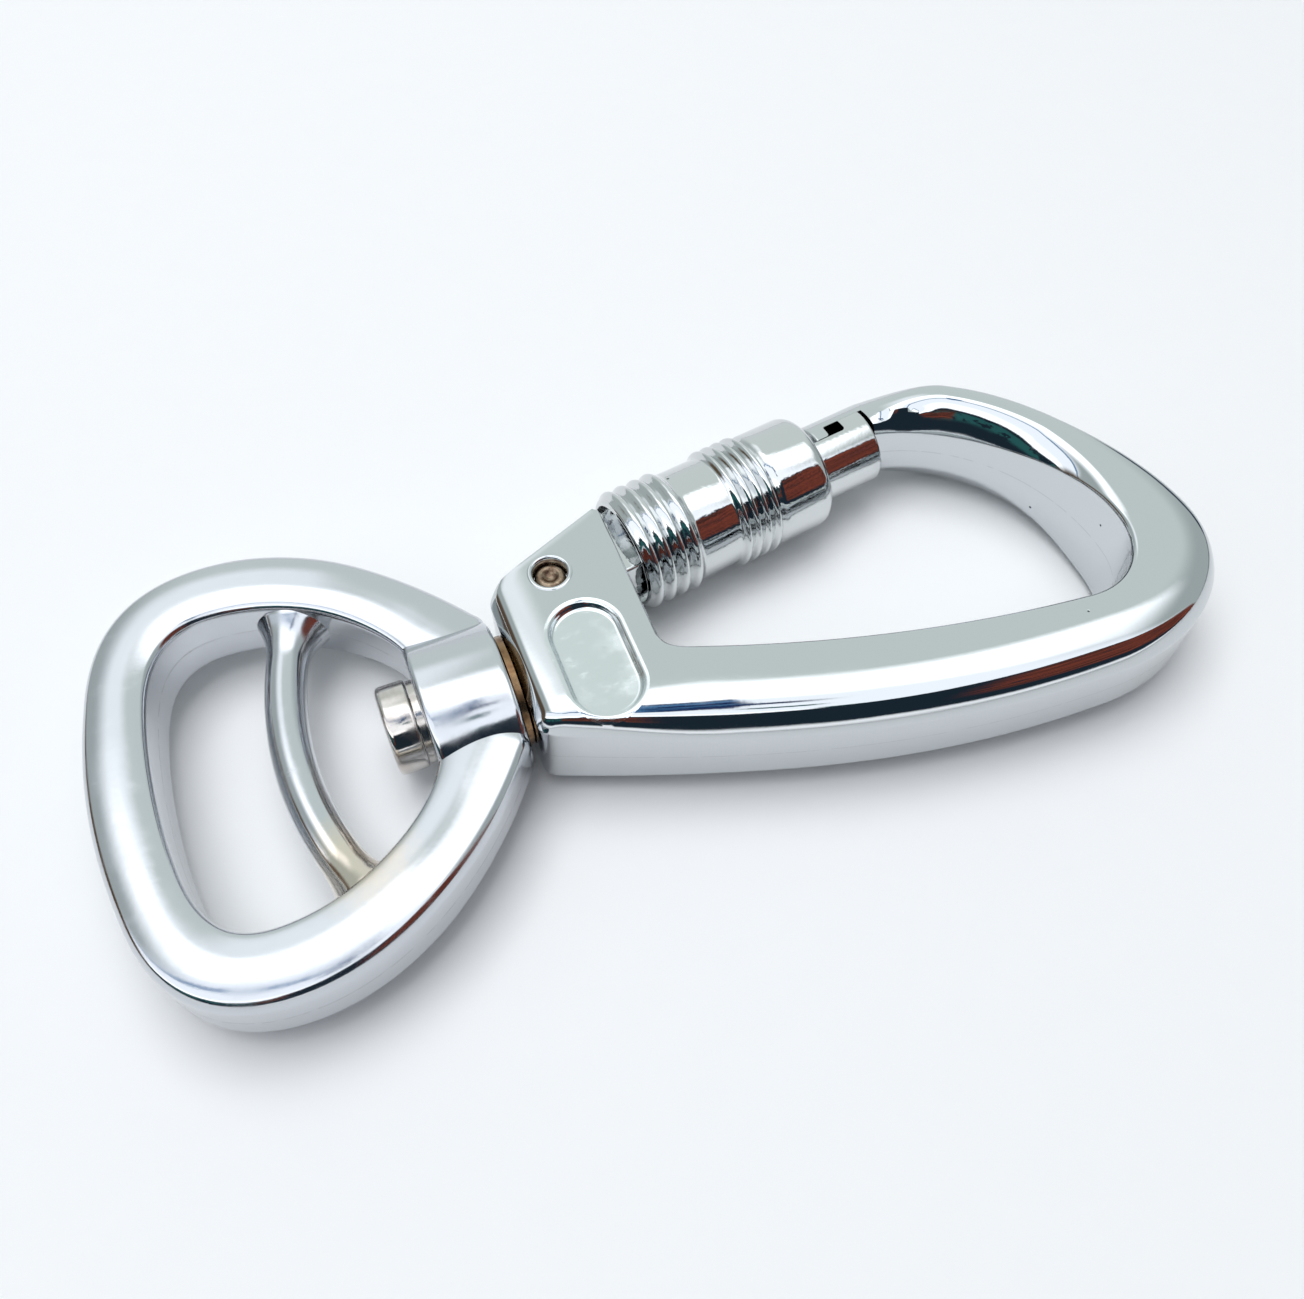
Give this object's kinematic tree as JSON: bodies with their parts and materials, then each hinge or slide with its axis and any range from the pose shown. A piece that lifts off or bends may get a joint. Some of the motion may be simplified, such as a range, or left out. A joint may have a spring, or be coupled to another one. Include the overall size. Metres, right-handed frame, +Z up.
{
  "type": "swivel snap shackle",
  "caption": "Chrome-plated snap shackle with a hinged gate, a screw-down locking sleeve and a swivelling webbing eye.",
  "frame": {"origin": "on the supporting plane, under the middle of the bounding box", "axes": "+X along the swivel axis from the webbing eye to the hook's far bend, +Y towards the gate, +Z up through the thickness"},
  "size_m": [0.0894, 0.0378, 0.0108],
  "materials": {
    "chrome_casting": "bright decorative chrome over a zinc die casting, with small pits and scratches",
    "chrome_turned": "bright chrome on turned and cast gate parts",
    "rivet_copper": "browned copper-coloured pin end",
    "bolt_steel": "warm grey plated steel",
    "spring_steel": "dark spring steel",
    "brass": "yellow brass",
    "seal_rubber": "matt black"
  },
  "bodies": {
    "hook": {"hook_body": "chrome_casting", "gate_rivet": "rivet_copper", "gate_spring": "spring_steel", "swivel_bolt": "bolt_steel", "thrust_washer": "brass", "head_washer": "bolt_steel"},
    "gate": {"gate": "chrome_turned", "stop_ring": "spring_steel"},
    "plunger": {"gate_plunger": "spring_steel"},
    "sleeve_ring": {"drag_ring": "seal_rubber"},
    "sleeve": {"lock_sleeve": "chrome_turned"},
    "eye": {"swivel_eye": "chrome_casting", "hub_bush": "brass"}
  },
  "joints": [
    {"name": "eye_swivel", "type": "hinge", "parent": "hook", "child": "eye", "pos_m": [-0.0165, 0, 0.0054], "axis": [1, 0, 0], "continuous": true},
    {"name": "gate_hinge", "type": "hinge", "parent": "hook", "child": "gate", "pos_m": [-0.0073, 0.0063, 0.0054], "axis": [0, 0, -1], "range_deg": [0, 28], "stiffness_Nm_per_rad": 0.08, "springref_deg": -34.38},
    {"name": "plunger_slide", "type": "slide", "parent": "hook", "child": "plunger", "axis": [0, -1, 0], "range_m": [0, 0.0021], "deforming": ["gate_spring"]},
    {"name": "sleeve_spin", "type": "hinge", "parent": "gate", "child": "sleeve_ring", "pos_m": [0.01412, 0.01172, 0.0054], "axis": [0.9877, 0.1564, 0], "range_deg": [0, 1080]},
    {"name": "sleeve_travel", "type": "slide", "parent": "sleeve_ring", "child": "sleeve", "axis": [0.9877, 0.1564, 0], "range_m": [0, 0.006]}
  ],
  "couplings": [
    {"joint": "plunger_slide", "follows": "gate_hinge", "m_per_rad": 0.0042},
    {"joint": "sleeve_travel", "follows": "sleeve_spin", "m_per_rad": 0.000318}
  ]
}
